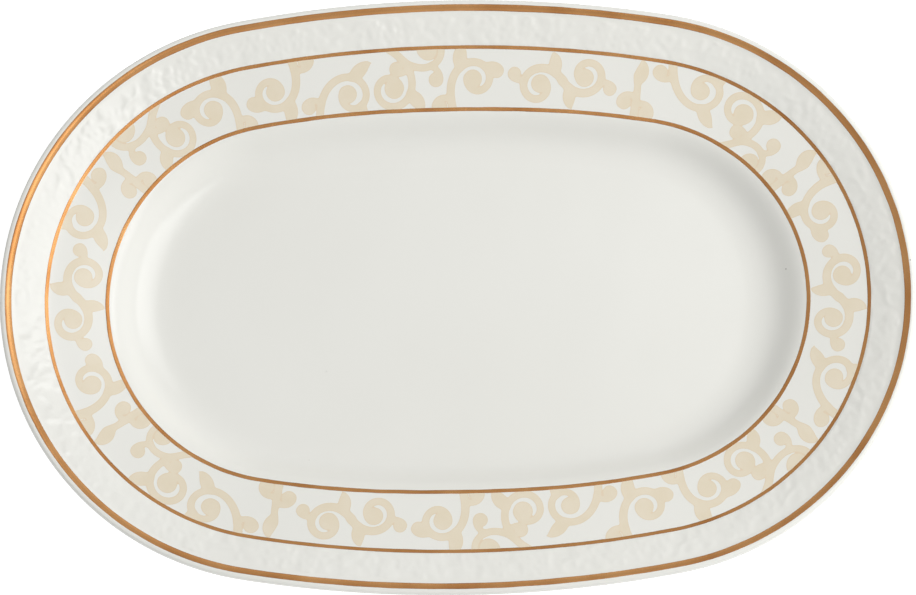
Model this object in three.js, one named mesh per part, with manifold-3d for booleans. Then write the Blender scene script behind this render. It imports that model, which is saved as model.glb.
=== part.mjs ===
// Oval china serving platter: one fired china body on a ground foot, with three gilt lines on
// its rim and a printed scroll border between two of them.
// Millimetres. +Z is up, +X runs along the platter, and the origin is on the table under its middle.

import * as THREE from "three";
import { mergeVertices } from "three/addons/utils/BufferGeometryUtils.js";
import Module from "manifold-3d";

const wasm = await Module();
wasm.setup();

// ---- driving dimensions ----

// The rim's edge is a four-centre oval. Every line on the rim runs parallel to it, except that
// the inner ones come in a little more at the middle of each side.
const HALF_LENGTH = 175;
const HALF_WIDTH = 116.6;
const END_RADIUS = 111;
const SEGMENTS_PER_END = 24;
const SEGMENTS_PER_SIDE = 8;
const SIDE_HOLLOW = 0.85;
const HOLLOW_NARROWNESS = 11;

// Distances inwards from the edge
const OUTER_GILT_START = 2.1;
const OUTER_GILT_END = 4.5;
const MIDDLE_GILT_START = 16.8;
const MIDDLE_GILT_END = 18.2;
const INNER_GILT_START = 39.7;
const INNER_GILT_END = 41.2;

// The well's wall is wider at the two ends than along the two sides.
const WALL_WIDTH_AT_SIDES = 16;
const WALL_WIDTH_AT_ENDS = 20;

// Heights
const RIM_TOP = 30;
const OUTER_GILT_END_HEIGHT = 29.15;
const MIDDLE_GILT_START_HEIGHT = 23.8;
const MIDDLE_GILT_END_HEIGHT = 23.4;
const INNER_GILT_START_HEIGHT = 19.25;
const INNER_GILT_END_HEIGHT = 18.95;
const FLOOR_TOP = 9.2;
const FOOT_HEIGHT = 4;

// The foot ring stands under the lower part of the wall.
const FOOT_PLACE = 0.82;
const FOOT_WIDTH = 4.2;
const FOOT_EDGE = 0.9;
const FOOT_TAPER = 0.4;

// Sections of the china, from the middle of its top over the lip to the foot.
// The well: share of the wall's width, height.
const WELL_SECTION = [
  [1.15, FLOOR_TOP],
  [1.0, 9.36],
  [0.85, 9.72],
  [0.7, 10.36],
  [0.55, 11.5],
  [0.4, 13.41],
  [0.25, 15.9],
  [0.1, 18.05],
];
// The rim's bead between the middle and the outer gilt line: distance inwards, height.
const BEAD_SECTION = [
  [11, 26],
  [5.4, 28.6],
];
const LIP_SECTION = [
  [1, 29.7],
  [0.3, 29.2],
  [0, 28.5],
  [0, 27.7],
  [0.5, 26.9],
  [1.7, 26.2],
];
const UNDER_RIM_SECTION = [
  [5.4, 24.6],
  [16.8, 19.6],
  [29, 16.6],
];
// Under the wall: share of the wall's width, move inwards, height.
const UNDER_WALL_SECTION = [
  [0, -2, 14.9],
  [0.2, -3, 13.2],
  [0.36, -3, 11.5],
  [0.52, -2.6, 9],
  [0.66, -2, 7],
  [FOOT_PLACE, -0.8, 4.8],
  [FOOT_PLACE, 0, FOOT_HEIGHT],
  [FOOT_PLACE, FOOT_WIDTH, FOOT_HEIGHT],
];

// Gilding and print lie on the glaze.
const GILT_THICKNESS = 0.15;
const PRINT_THICKNESS = 0.2;
const PRINT_CLEARANCE = 0.12;
const PRINT_MARGIN = 0.3;

const CHINA = material(0xf2f2ec, 0.12, 0);
const BISCUIT = material(0xe6e0d2, 0.85, 0);
const GILT = material(0xb9824f, 0.3, 0.9);
const PRINT = material(0xe0d2b8, 0.15, 0);

// ---- the four-centre oval ----

const END_CENTRE = HALF_LENGTH - END_RADIUS;
const SIDE_RADIUS =
  (END_CENTRE ** 2 + HALF_WIDTH ** 2 - END_RADIUS ** 2) / (2 * (HALF_WIDTH - END_RADIUS));
const SIDE_CENTRE = SIDE_RADIUS - HALF_WIDTH;
const JOIN_ANGLE = Math.atan2(SIDE_CENTRE, END_CENTRE);

// How much further in a ring comes near the middle of a side. The edge itself stays as it is.
function hollow(along, inwards) {
  const depth = Math.min(1, inwards / INNER_GILT_START) ** 3;
  return SIDE_HOLLOW * depth * Math.exp(-((HOLLOW_NARROWNESS * along) ** 2));
}

// The point that lies a distance inwards from the edge, where the edge faces the given direction.
function rimPoint(facing, inwards) {
  const along = Math.cos(facing);
  const across = Math.sin(facing);
  const onEnd = Math.abs(along) >= Math.cos(JOIN_ANGLE);
  const radius = (onEnd ? END_RADIUS : SIDE_RADIUS) - inwards - hollow(along, inwards);
  const centreX = onEnd ? Math.sign(along) * END_CENTRE : 0;
  const centreY = onEnd ? 0 : -Math.sign(across) * SIDE_CENTRE;
  return [centreX + radius * along, centreY + radius * across];
}

// The directions that the edge faces at the vertices of one turn.
function turnAngles() {
  const angles = [];
  const arcs = [
    [-JOIN_ANGLE, JOIN_ANGLE, SEGMENTS_PER_END],
    [JOIN_ANGLE, Math.PI - JOIN_ANGLE, SEGMENTS_PER_SIDE],
    [Math.PI - JOIN_ANGLE, Math.PI + JOIN_ANGLE, SEGMENTS_PER_END],
    [Math.PI + JOIN_ANGLE, 2 * Math.PI - JOIN_ANGLE, SEGMENTS_PER_SIDE],
  ];
  for (const [from, to, segments] of arcs) {
    for (let i = 0; i < segments; i++) angles.push(from + ((to - from) * i) / segments);
  }
  return angles;
}

const ANGLES = turnAngles();

function wallWidth(facing) {
  const towardsEnd = Math.cos(facing) ** 2;
  return WALL_WIDTH_AT_SIDES + (WALL_WIDTH_AT_ENDS - WALL_WIDTH_AT_SIDES) * towardsEnd;
}

// ---- rings: closed rows of vertices round the platter ----

// On the rim a ring keeps one distance from the edge.
function rimRing(inwards, height) {
  return ANGLES.map((facing) => [...rimPoint(facing, inwards), height]);
}

// On the wall a ring keeps one share of the wall's width, moved sideways by an offset.
function wallRing(share, offset, height) {
  return ANGLES.map((facing) => {
    const inwards = INNER_GILT_END + share * wallWidth(facing) + offset;
    return [...rimPoint(facing, inwards), height];
  });
}

function raised(ring, rise) {
  return ring.map(([x, y, z]) => [x, y, z + rise]);
}

// Triangles between two rings. Each four-sided facet is split from ring A forward to ring B, or
// from ring B forward to ring A, so that a facet and the one that lies on it split alike.
function stitch(indices, ringA, ringB, count, forwardToA = false) {
  for (let i = 0; i < count; i++) {
    const next = (i + 1) % count;
    const [a, aNext, b, bNext] = [ringA + i, ringA + next, ringB + i, ringB + next];
    if (forwardToA) indices.push(a, aNext, b, aNext, bNext, b);
    else indices.push(a, aNext, bNext, a, bNext, b);
  }
}

function surface(vertices, indices) {
  const geometry = new THREE.BufferGeometry();
  geometry.setAttribute("position", new THREE.Float32BufferAttribute(vertices.flat(), 3));
  geometry.setIndex(indices);
  geometry.computeVertexNormals();
  return geometry;
}

// A ring-shaped solid through rings given in order round its section, outside first, then below.
function ringSolid(rings) {
  const count = ANGLES.length;
  const indices = [];
  rings.forEach((ring, i) => {
    stitch(indices, ((i + 1) % rings.length) * count, i * count, count, true);
  });
  return surface(rings.flat(), indices);
}

// A dish-shaped solid through rings from the middle of its top, over the edge, to the middle below.
function dishSolid(rings) {
  const count = ANGLES.length;
  const vertices = rings.flat();
  const topCentre = vertices.push([0, 0, rings[0][0][2]]) - 1;
  const underCentre = vertices.push([0, 0, rings.at(-1)[0][2]]) - 1;
  const lastRing = (rings.length - 1) * count;
  const indices = [];
  for (let i = 0; i < count; i++) {
    const next = (i + 1) % count;
    indices.push(topCentre, i, next);
    indices.push(underCentre, lastRing + next, lastRing + i);
  }
  for (let i = 1; i < rings.length; i++) stitch(indices, i * count, (i - 1) * count, count);
  return surface(vertices, indices);
}

// ---- china body ----

function rimTopRings() {
  return [
    rimRing(INNER_GILT_END, INNER_GILT_END_HEIGHT),
    rimRing(INNER_GILT_START, INNER_GILT_START_HEIGHT),
    rimRing(MIDDLE_GILT_END, MIDDLE_GILT_END_HEIGHT),
    rimRing(MIDDLE_GILT_START, MIDDLE_GILT_START_HEIGHT),
    ...BEAD_SECTION.map(([inwards, height]) => rimRing(inwards, height)),
    rimRing(OUTER_GILT_END, OUTER_GILT_END_HEIGHT),
    rimRing(OUTER_GILT_START, RIM_TOP - GILT_THICKNESS),
  ];
}

function chinaBody() {
  return dishSolid([
    ...WELL_SECTION.map(([share, height]) => wallRing(share, 0, height)),
    ...rimTopRings(),
    ...[...LIP_SECTION, ...UNDER_RIM_SECTION].map(([inwards, height]) => rimRing(inwards, height)),
    ...UNDER_WALL_SECTION.map(([share, offset, height]) => wallRing(share, offset, height)),
  ]);
}

function footRing() {
  return ringSolid([
    wallRing(FOOT_PLACE, 0, FOOT_HEIGHT),
    wallRing(FOOT_PLACE, FOOT_TAPER, FOOT_EDGE / 2),
    wallRing(FOOT_PLACE, FOOT_EDGE, 0),
    wallRing(FOOT_PLACE, FOOT_WIDTH - FOOT_EDGE, 0),
    wallRing(FOOT_PLACE, FOOT_WIDTH - FOOT_TAPER, FOOT_EDGE / 2),
    wallRing(FOOT_PLACE, FOOT_WIDTH, FOOT_HEIGHT),
  ]);
}

// ---- gilt lines, each on the same two rings as the glaze under it ----

function giltLine(start, startHeight, end, endHeight) {
  const outer = rimRing(start, startHeight);
  const inner = rimRing(end, endHeight);
  return ringSolid([raised(outer, GILT_THICKNESS), outer, inner, raised(inner, GILT_THICKNESS)]);
}

// ---- scroll border ----

// The border is drawn flat: x along the rim, y from the inner gilt line out to the middle one.
const BAND_WIDTH = INNER_GILT_START - MIDDLE_GILT_END;
const BAND_MIDDLE = (INNER_GILT_START + MIDDLE_GILT_END) / 2;
const BAND_SLOPE = (MIDDLE_GILT_END_HEIGHT - INNER_GILT_START_HEIGHT) / BAND_WIDTH;
const STEM_ROOT = -1.5;
const FINE_STEP = 0.5;
const TURN_PER_SIDE = 0.82;
const LONGEST_SIDE = 9;
const BULB_SIDES = 7;

// A leaf is fullest where its share of the length, raised to LEAF_FULLEST, is a half.
const LEAF_ENDS = [2.2, 0.6];
const LEAF_FULLEST = 0.8;
const LEAF_ROUNDNESS = 1.3;
const LEAF_TIP_TAPER = 6;
const LEAF_TIP = 0.12;

// A stroke grows from a parent stroke (from the motif's start where parent is null) at a share
// of the parent's length, turned by some degrees. Its curvature and width change evenly along it.
// It ends in a round bulb, or swells in the middle and ends in a point, as a leaf.
function stem(turn, length, bend, width, bulb) {
  return { parent: null, at: 0, turn, length, bend, width, bulb, swell: 0 };
}

function shoot(parent, at, turn, length, bend, width, bulb) {
  return { parent, at, turn, length, bend, width, bulb, swell: 0 };
}

function leaf(parent, at, turn, length, bend, swell) {
  return { parent, at, turn, length, bend, width: LEAF_ENDS, bulb: 0, swell };
}

const MOTIFS = {
  rise: {
    width: 27.6,
    start: [8.3, STEM_ROOT],
    heading: 104,
    strokes: [
      stem(0, 47, [-0.018, -0.27], [2.9, 2.2], 3),
      shoot(0, 0.1, 62, 8.5, [0.1, 0.4], [2, 2.2], 2.4),
      leaf(0, 0.36, 40, 10, [0.1, -0.3], 3.4),
      shoot(0, 0.58, 62, 7, [-0.05, -0.42], [1.8, 2], 2.1),
    ],
  },
  twin: {
    width: 27.4,
    start: [5.8, STEM_ROOT],
    heading: 34,
    strokes: [
      stem(0, 53, [0.022, 0.25], [2.6, 2.2], 3.2),
      shoot(0, 0.16, -20, 37, [-0.045, -0.34], [2.4, 2], 2.7),
      leaf(0, 0.4, -62, 8.5, [-0.1, 0.25], 3.4),
      shoot(1, 0.3, 52, 7.5, [0.06, 0.38], [1.8, 2], 2.2),
      shoot(0, 0.22, 70, 6.5, [0.1, 0.42], [1.8, 2], 2.1),
    ],
  },
  wave: {
    width: 41.8,
    start: [20.9, BAND_WIDTH / 2],
    heading: -52,
    strokes: [
      stem(0, 39, [0.075, 0.27], [3, 2.2], 2.9),
      stem(180, 39, [0.075, 0.27], [3, 2.2], 2.9),
      leaf(0, 0.1, -50, 8, [-0.1, 0.24], 3),
      leaf(1, 0.1, -50, 8, [-0.1, 0.24], 3),
      shoot(0, 0.46, -60, 6, [-0.05, -0.44], [1.8, 2], 2),
      shoot(1, 0.46, -60, 6, [-0.05, -0.44], [1.8, 2], 2),
    ],
  },
  sprig: {
    width: 14.4,
    start: [7.2, STEM_ROOT],
    heading: 86,
    strokes: [
      stem(0, 17, [0.03, -0.05], [3, 2], 0),
      shoot(0, 0.35, 66, 9.5, [0.1, 0.44], [2, 2.1], 2.4),
      shoot(0, 0.5, -62, 8.5, [-0.1, -0.46], [2, 2.1], 2.3),
      leaf(0, 0.86, 24, 9, [0.05, -0.26], 3.2),
    ],
  },
  hook: {
    width: 28.2,
    start: [21.9, STEM_ROOT],
    heading: 98,
    strokes: [
      stem(0, 50, [0.02, 0.255], [2.7, 2.1], 2.9),
      shoot(0, 0.12, -66, 8, [-0.12, -0.42], [1.9, 2.1], 2.2),
      leaf(0, 0.46, -38, 9.5, [-0.16, 0.22], 3.2),
      leaf(0, 0.74, -58, 7.5, [0.02, 0.36], 2.8),
    ],
  },
};

// Half of the border: motif, distance to the next one, and whether it hangs from the middle
// line (down) and runs the other way (back). The other half repeats it.
const HALF_BORDER = [
  { motif: "rise", pitch: 26.5 },
  { motif: "twin", pitch: 25, down: true },
  { motif: "sprig", pitch: 11 },
  { motif: "hook", pitch: 28.5, down: true, back: true },
  { motif: "wave", pitch: 44 },
  { motif: "rise", pitch: 23, down: true, back: true },
  { motif: "sprig", pitch: 16.5, back: true },
  { motif: "twin", pitch: 28, back: true },
  { motif: "hook", pitch: 26, down: true },
  { motif: "sprig", pitch: 15.5 },
  { motif: "wave", pitch: 44, down: true },
  { motif: "rise", pitch: 22.5, back: true },
  { motif: "twin", pitch: 28, down: true, back: true },
  { motif: "hook", pitch: 21.5 },
  { motif: "rise", pitch: 25, down: true },
];

// Points along a stroke's middle, each with its heading and half its width.
function strokePath(stroke, x, y, heading) {
  const [firstBend, lastBend] = stroke.bend;
  const steps = Math.round(stroke.length / FINE_STEP);
  const path = [];
  for (let i = 0; i <= steps; i++) {
    path.push({ x, y, heading, half: strokeWidth(stroke, i / steps) / 2 });
    const bend = firstBend + ((lastBend - firstBend) * (i + 0.5)) / steps;
    const middleHeading = heading + (bend * FINE_STEP) / 2;
    x += Math.cos(middleHeading) * FINE_STEP;
    y += Math.sin(middleHeading) * FINE_STEP;
    heading += bend * FINE_STEP;
  }
  return path;
}

// The few points of a path that its outline needs: one for each part of its turn, and its ends.
function outlinePoints(stroke, path) {
  const turn = Math.abs(path.at(-1).heading - path[0].heading);
  const sides = Math.max(3, Math.ceil(turn / TURN_PER_SIDE), Math.ceil(stroke.length / LONGEST_SIDE));
  const [firstBend, lastBend] = stroke.bend.map(Math.abs);
  const points = [];
  for (let i = 0; i <= sides; i++) {
    const share = i / sides;
    const tightness = lastBend / (firstBend + lastBend);
    const place = share ** (1 / (0.5 + tightness));
    points.push(path[Math.round(place * (path.length - 1))]);
  }
  return points;
}

function strokeWidth(stroke, share) {
  const [first, last] = stroke.width;
  const even = first + (last - first) * share;
  if (stroke.swell === 0) return even;
  const swollen = even + stroke.swell * Math.sin(Math.PI * share ** LEAF_FULLEST) ** LEAF_ROUNDNESS;
  return swollen * Math.min(1, (1 - share) * LEAF_TIP_TAPER + LEAF_TIP);
}

// Every motif's strokes with their paths, each grown from its parent's path.
function grow(motif) {
  const grown = [];
  for (const stroke of motif.strokes) {
    const parent = stroke.parent === null ? null : grown[stroke.parent].path;
    const place = parent ? parent[Math.round(stroke.at * (parent.length - 1))] : null;
    const x = place ? place.x : motif.start[0];
    const y = place ? place.y : motif.start[1];
    const heading = place ? place.heading : THREE.MathUtils.degToRad(motif.heading);
    const turned = heading + THREE.MathUtils.degToRad(stroke.turn);
    grown.push({ stroke, path: strokePath(stroke, x, y, turned) });
  }
  return grown;
}

function strokeOutline(path) {
  const side = (sign) =>
    path.map(({ x, y, heading, half }) => {
      const across = heading + (sign * Math.PI) / 2;
      return new THREE.Vector2(x + half * Math.cos(across), y + half * Math.sin(across));
    });
  return [...side(-1), ...side(1).reverse()];
}

function bulbOutline(stroke, path) {
  const end = path.at(-1);
  const towards = end.heading + (Math.sign(stroke.bend[1]) * Math.PI) / 2;
  const offset = Math.max(0, stroke.bulb - end.half);
  const x = end.x + offset * Math.cos(towards);
  const y = end.y + offset * Math.sin(towards);
  return Array.from({ length: BULB_SIDES }, (_, i) => {
    const angle = end.heading + (2 * Math.PI * i) / BULB_SIDES;
    return new THREE.Vector2(x + stroke.bulb * Math.cos(angle), y + stroke.bulb * Math.sin(angle));
  });
}

function toManifold(geometry) {
  const bare = geometry.clone();
  bare.deleteAttribute("normal");
  bare.deleteAttribute("uv");
  const merged = mergeVertices(bare);
  const vertProperties = new Float32Array(merged.attributes.position.array);
  const triVerts = new Uint32Array(merged.index.array);
  return new wasm.Manifold(new wasm.Mesh({ numProp: 3, vertProperties, triVerts }));
}

function flatPiece(outline) {
  const shape = new THREE.Shape(outline);
  return toManifold(new THREE.ExtrudeGeometry(shape, { depth: PRINT_THICKNESS, bevelEnabled: false }));
}

// A motif as flat pieces, cut off where it reaches the gilt lines.
function flatMotif(motif) {
  const pieces = grow(motif).flatMap(({ stroke, path }) => {
    const outlines = [strokeOutline(outlinePoints(stroke, path))];
    if (stroke.bulb > 0) outlines.push(bulbOutline(stroke, path));
    return outlines.map(flatPiece);
  });
  const whole = pieces.reduce((sum, piece) => sum.add(piece));
  const window = new THREE.BoxGeometry(2 * motif.width, BAND_WIDTH - 2 * PRINT_MARGIN, 4 * PRINT_THICKNESS);
  window.translate(motif.width / 2, BAND_WIDTH / 2, 0);
  return whole.intersect(toManifold(window)).decompose();
}

// Lengths along the middle of the border
const BAND_END_RADIUS = END_RADIUS - BAND_MIDDLE;
const BAND_SIDE_RADIUS = SIDE_RADIUS - BAND_MIDDLE;
const BAND_END_LENGTH = 2 * JOIN_ANGLE * BAND_END_RADIUS;
const BAND_HALF_TURN = BAND_END_LENGTH + (Math.PI - 2 * JOIN_ANGLE) * BAND_SIDE_RADIUS;

// The direction that the rim faces at a length along the middle of the border.
function facingAt(length) {
  const halves = Math.floor(length / BAND_HALF_TURN);
  const rest = length - halves * BAND_HALF_TURN;
  const onEnd = rest < BAND_END_LENGTH;
  const within = onEnd
    ? rest / BAND_END_RADIUS - JOIN_ANGLE
    : (rest - BAND_END_LENGTH) / BAND_SIDE_RADIUS + JOIN_ANGLE;
  return halves * Math.PI + within;
}

// A flat piece bent round the rim. Turning it over or round swaps its faces, and so their order.
function bentPiece(piece, motif, place, down, back) {
  const mesh = piece.getMesh();
  const vertices = [];
  for (let i = 0; i < mesh.numVert; i++) {
    const [flatX, flatY, flatZ] = mesh.vertProperties.slice(3 * i, 3 * i + 3);
    const x = place + (back ? motif.width - flatX : flatX);
    const y = down ? BAND_WIDTH - flatY : flatY;
    const height = INNER_GILT_START_HEIGHT + BAND_SLOPE * y + PRINT_CLEARANCE + flatZ;
    vertices.push([...rimPoint(facingAt(x), INNER_GILT_START - y), height]);
  }
  const indices = Array.from(mesh.triVerts);
  const mirrored = Boolean(down) !== Boolean(back);
  if (!mirrored) {
    for (let i = 0; i < indices.length; i += 3) {
      [indices[i], indices[i + 1]] = [indices[i + 1], indices[i]];
    }
  }
  return surface(vertices, indices);
}

function scrollBorder() {
  const flat = {};
  for (const [name, motif] of Object.entries(MOTIFS)) flat[name] = flatMotif(motif);
  const slack = BAND_HALF_TURN - HALF_BORDER.reduce((sum, { pitch }) => sum + pitch, 0);
  const border = [];
  for (const half of [0, 1]) {
    let place = half * BAND_HALF_TURN;
    for (const { motif, pitch, down, back } of HALF_BORDER) {
      for (const piece of flat[motif]) border.push(bentPiece(piece, MOTIFS[motif], place, down, back));
      place += pitch + slack / HALF_BORDER.length;
    }
  }
  return border;
}

// ---- assembly ----

function material(color, roughness, metalness) {
  return new THREE.MeshStandardMaterial({ color, roughness, metalness });
}

function named(name, geometry, finish) {
  const mesh = new THREE.Mesh(geometry, finish);
  mesh.name = name;
  return mesh;
}

const platter = new THREE.Group();
platter.add(named("china_body", chinaBody(), CHINA));
platter.add(named("foot_ring", footRing(), BISCUIT));
platter.add(
  named(
    "gilt_line_outer",
    giltLine(OUTER_GILT_START, RIM_TOP - GILT_THICKNESS, OUTER_GILT_END, OUTER_GILT_END_HEIGHT),
    GILT,
  ),
);
platter.add(
  named(
    "gilt_line_middle",
    giltLine(MIDDLE_GILT_START, MIDDLE_GILT_START_HEIGHT, MIDDLE_GILT_END, MIDDLE_GILT_END_HEIGHT),
    GILT,
  ),
);
platter.add(
  named(
    "gilt_line_inner",
    giltLine(INNER_GILT_START, INNER_GILT_START_HEIGHT, INNER_GILT_END, INNER_GILT_END_HEIGHT),
    GILT,
  ),
);
scrollBorder().forEach((geometry, i) => {
  const number = String(i + 1).padStart(2, "0");
  platter.add(named(`scroll_print_${number}`, geometry, PRINT));
});

export default platter;
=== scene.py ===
"""Oval china serving platter: glazed body, moulded relief, gilt lines, scroll print, ground foot.

Lengths are millimetres until a mesh is made. Blender's own unit is the metre.
"""
import math

import bpy
import numpy as np
from mathutils import Matrix, Vector


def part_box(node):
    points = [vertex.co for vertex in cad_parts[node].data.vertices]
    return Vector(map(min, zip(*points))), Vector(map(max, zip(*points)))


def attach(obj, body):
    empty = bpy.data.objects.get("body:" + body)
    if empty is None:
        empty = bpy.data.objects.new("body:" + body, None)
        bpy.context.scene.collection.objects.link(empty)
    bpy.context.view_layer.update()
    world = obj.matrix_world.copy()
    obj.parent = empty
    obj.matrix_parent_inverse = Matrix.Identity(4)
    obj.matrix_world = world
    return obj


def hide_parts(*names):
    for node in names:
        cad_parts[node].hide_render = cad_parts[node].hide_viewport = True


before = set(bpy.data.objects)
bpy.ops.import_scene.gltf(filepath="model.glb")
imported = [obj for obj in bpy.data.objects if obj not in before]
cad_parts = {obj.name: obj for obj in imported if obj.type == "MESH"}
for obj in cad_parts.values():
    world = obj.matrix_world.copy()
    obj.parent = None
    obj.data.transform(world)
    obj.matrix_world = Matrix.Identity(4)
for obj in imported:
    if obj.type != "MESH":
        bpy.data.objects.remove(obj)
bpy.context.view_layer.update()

MM = 0.001

# ---- driving dimensions, from the frame where it holds them ----


def far_corner(node):
    """A node's highest corner, in millimetres."""
    return np.array(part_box(node)[1]) / MM


HALF_LENGTH, HALF_WIDTH, _ = far_corner("china_body")
FOOT_HEIGHT = far_corner("foot_ring")[2]
END_RADIUS = 111.0
SIDE_HOLLOW = 0.85
HOLLOW_NARROWNESS = 11.0

# Distances inwards from the edge to the two sides of each gilt line
OUTER_GILT = (HALF_LENGTH - far_corner("gilt_line_outer")[0], 4.5)
MIDDLE_GILT = (HALF_LENGTH - far_corner("gilt_line_middle")[0], 18.2)
INNER_GILT = (HALF_LENGTH - far_corner("gilt_line_inner")[0], 41.2)

WALL_WIDTH_AT_SIDES = 16.0
WALL_WIDTH_AT_ENDS = 20.0
FLOOR_TOP = 9.2
FOOT_PLACE = 0.82
FOOT_WIDTH = 4.2

# ---- the four-centre oval ----

END_CENTRE = HALF_LENGTH - END_RADIUS
SIDE_RADIUS = (END_CENTRE**2 + HALF_WIDTH**2 - END_RADIUS**2) / (2 * (HALF_WIDTH - END_RADIUS))
SIDE_CENTRE = SIDE_RADIUS - HALF_WIDTH
JOIN_ANGLE = math.atan2(SIDE_CENTRE, END_CENTRE)


def hollow(along, inwards):
    """How much further in a line comes near the middle of a side. The edge stays as it is."""
    depth = np.minimum(1, inwards / INNER_GILT[0]) ** 3
    return SIDE_HOLLOW * depth * np.exp(-((HOLLOW_NARROWNESS * along) ** 2))


def rim_point(facing, inwards):
    """The points x, y that lie a distance inwards from the edge, where it faces the given way."""
    along, across = np.cos(facing), np.sin(facing)
    on_end = np.abs(along) >= math.cos(JOIN_ANGLE)
    radius = np.where(on_end, END_RADIUS, SIDE_RADIUS) - inwards - hollow(along, inwards)
    centre_x = np.where(on_end, np.sign(along) * END_CENTRE, 0.0)
    centre_y = np.where(on_end, 0.0, -np.sign(across) * SIDE_CENTRE)
    return centre_x + radius * along, centre_y + radius * across


def half_turn(inwards):
    """Half the length of the ring that runs a distance inwards from the edge."""
    ends = 2 * JOIN_ANGLE * (END_RADIUS - inwards)
    return ends + (math.pi - 2 * JOIN_ANGLE) * (SIDE_RADIUS - inwards)


def facing_at(length, inwards):
    """The way the edge faces at a length along a ring, counted from where the right end starts."""
    end_length = 2 * JOIN_ANGLE * (END_RADIUS - inwards)
    half = half_turn(inwards)
    halves = np.floor(length / half)
    rest = length - halves * half
    on_end = rest / (END_RADIUS - inwards) - JOIN_ANGLE
    on_side = JOIN_ANGLE + (rest - end_length) / (SIDE_RADIUS - inwards)
    return halves * math.pi + np.where(rest < end_length, on_end, on_side)


def wall_width(facing):
    """The width of the well's wall, from the inner gilt line down to the floor."""
    towards_end = np.cos(facing) ** 2
    return WALL_WIDTH_AT_SIDES + (WALL_WIDTH_AT_ENDS - WALL_WIDTH_AT_SIDES) * towards_end


# ---- meshes ----


SHARP_ANGLE = 50


def new_object(name, points, faces, attributes=None, sharp=False):
    """A smooth-shaded mesh from points in millimetres. attributes holds one value a point."""
    mesh = bpy.data.meshes.new(name)
    mesh.from_pydata((np.asarray(points) * MM).tolist(), [], faces)
    mesh.polygons.foreach_set("use_smooth", np.ones(len(mesh.polygons), dtype=bool))
    for key, values in (attributes or {}).items():
        values = np.asarray(values, dtype=float)
        kind = "FLOAT" if values.ndim == 1 else "FLOAT_VECTOR"
        field = "value" if values.ndim == 1 else "vector"
        mesh.attributes.new(key, kind, "POINT").data.foreach_set(field, values.ravel())
    if sharp:
        mesh.set_sharp_from_angle(angle=math.radians(SHARP_ANGLE))
    mesh.validate()
    obj = bpy.data.objects.new(name, mesh)
    bpy.context.scene.collection.objects.link(obj)
    return obj


def ring_quads(first, second, count):
    """Quads between two rings of the same count, given by their first points' numbers."""
    here = np.arange(count)
    after = (here + 1) % count
    return np.stack([first + here, first + after, second + after, second + here], axis=1).tolist()


def widening_faces(coarse, fine, count, ratio):
    """Triangles from a ring of count points out to one of count * ratio points."""
    faces = []
    total = count * ratio
    middle = ratio // 2
    for i in range(count):
        here, after = coarse + i, coarse + (i + 1) % count
        for k in range(ratio):
            anchor = here if k < middle else after
            faces.append((anchor, fine + i * ratio + k, fine + (i * ratio + k + 1) % total))
        faces.append((after, here, fine + i * ratio + middle))
    return faces


def joining_faces(last, before, first, here):
    """Faces between one ring and the next, given by their first points' numbers and their counts.

    Either ring may be a single point, or have several times as many points as the other.
    """
    if before == here:
        return ring_quads(first, last, here)
    if before == 1:
        return [(last, first + k, first + (k + 1) % here) for k in range(here)]
    if here == 1:
        return [(first, last + (k + 1) % before, last + k) for k in range(before)]
    if before < here:
        return widening_faces(last, first, before, here // before)
    return [face[::-1] for face in widening_faces(first, last, here, before // here)]


class Shell:
    """A mesh built ring by ring, each joined to the one before."""

    def __init__(self):
        self.rings = []
        self.faces = []
        self.count = 0

    def add(self, points):
        """Adds a ring, or a single point."""
        if self.rings:
            before = len(self.rings[-1])
            self.faces += joining_faces(self.count - before, before, self.count, len(points))
        self.rings.append(points)
        self.count += len(points)


def piece(obj, slot, *nodes):
    """Makes an object a piece of the platter that stands for CAD nodes."""
    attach(obj, "root")
    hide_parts(*nodes)
    return obj


# ---- profile of the china body ----

# A profile point: distance inwards on the rim, share of the wall's width, height.
TOP_PROFILE = [
    (41.2, 1.20, 9.20),
    (41.2, 1.10, 9.24),
    (41.2, 1.00, 9.36),
    (41.2, 0.90, 9.57),
    (41.2, 0.80, 9.90),
    (41.2, 0.70, 10.36),
    (41.2, 0.60, 11.06),
    (41.2, 0.50, 12.05),
    (41.2, 0.40, 13.41),
    (41.2, 0.30, 15.05),
    (41.2, 0.20, 16.69),
    (41.2, 0.10, 18.02),
    (41.2, 0.00, 18.95),
    (39.7, 0.00, 19.25),
    (29.0, 0.00, 21.34),
    (18.2, 0.00, 23.40),
    (16.8, 0.00, 23.80),
    (11.0, 0.00, 26.00),
    (5.6, 0.00, 28.10),
    (4.5, 0.00, 28.68),
    (3.3, 0.00, 29.50),
    (2.1, 0.00, 29.83),
    (1.3, 0.00, 29.90),
    (0.6, 0.00, 29.66),
    (0.15, 0.00, 29.15),
    (0.0, 0.00, 28.50),
    (0.0, 0.00, 27.70),
    (0.5, 0.00, 26.90),
    (1.7, 0.00, 26.20),
]
UNDER_PROFILE = [
    (1.7, 0.00, 26.20),
    (5.4, 0.00, 24.60),
    (16.8, 0.00, 19.60),
    (29.0, 0.00, 16.60),
    (39.2, 0.00, 14.90),
    (38.2, 0.20, 13.20),
    (38.2, 0.36, 11.50),
    (38.6, 0.52, 9.00),
    (39.2, 0.66, 7.00),
    (40.4, 0.82, 4.80),
    (41.2, FOOT_PLACE, FOOT_HEIGHT),
]


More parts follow.
